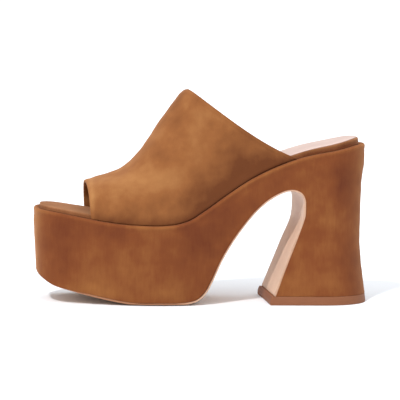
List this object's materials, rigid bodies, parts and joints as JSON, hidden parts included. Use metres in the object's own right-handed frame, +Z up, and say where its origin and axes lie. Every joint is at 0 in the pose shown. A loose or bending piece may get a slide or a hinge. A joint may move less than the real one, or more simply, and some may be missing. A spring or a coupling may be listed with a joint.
{
  "type": "platform mule sandal",
  "caption": "Suede slide-on platform mule with an open squared toe, nude leather sole and a tall flared block heel",
  "frame": {"origin": "on the floor, under the middle of the shoe's box", "axes": "+Z up, toe to -X, heel to +X, outer side of the foot to -Y"},
  "size_m": [0.2486, 0.0866, 0.1555],
  "materials": {
    "unit_suede": "brushed suede",
    "nude_leather": "smooth matt",
    "heel_rubber": "matt",
    "insole_suede": "brushed suede",
    "pink_leather": "smooth matt",
    "upper_suede": "brushed suede"
  },
  "bodies": {
    "root": {"platform_heel": "unit_suede", "outsole": "nude_leather", "top_lift": "heel_rubber", "insole": "insole_suede", "sock_lining": "pink_leather", "upper": "upper_suede"}
  },
  "joints": []
}
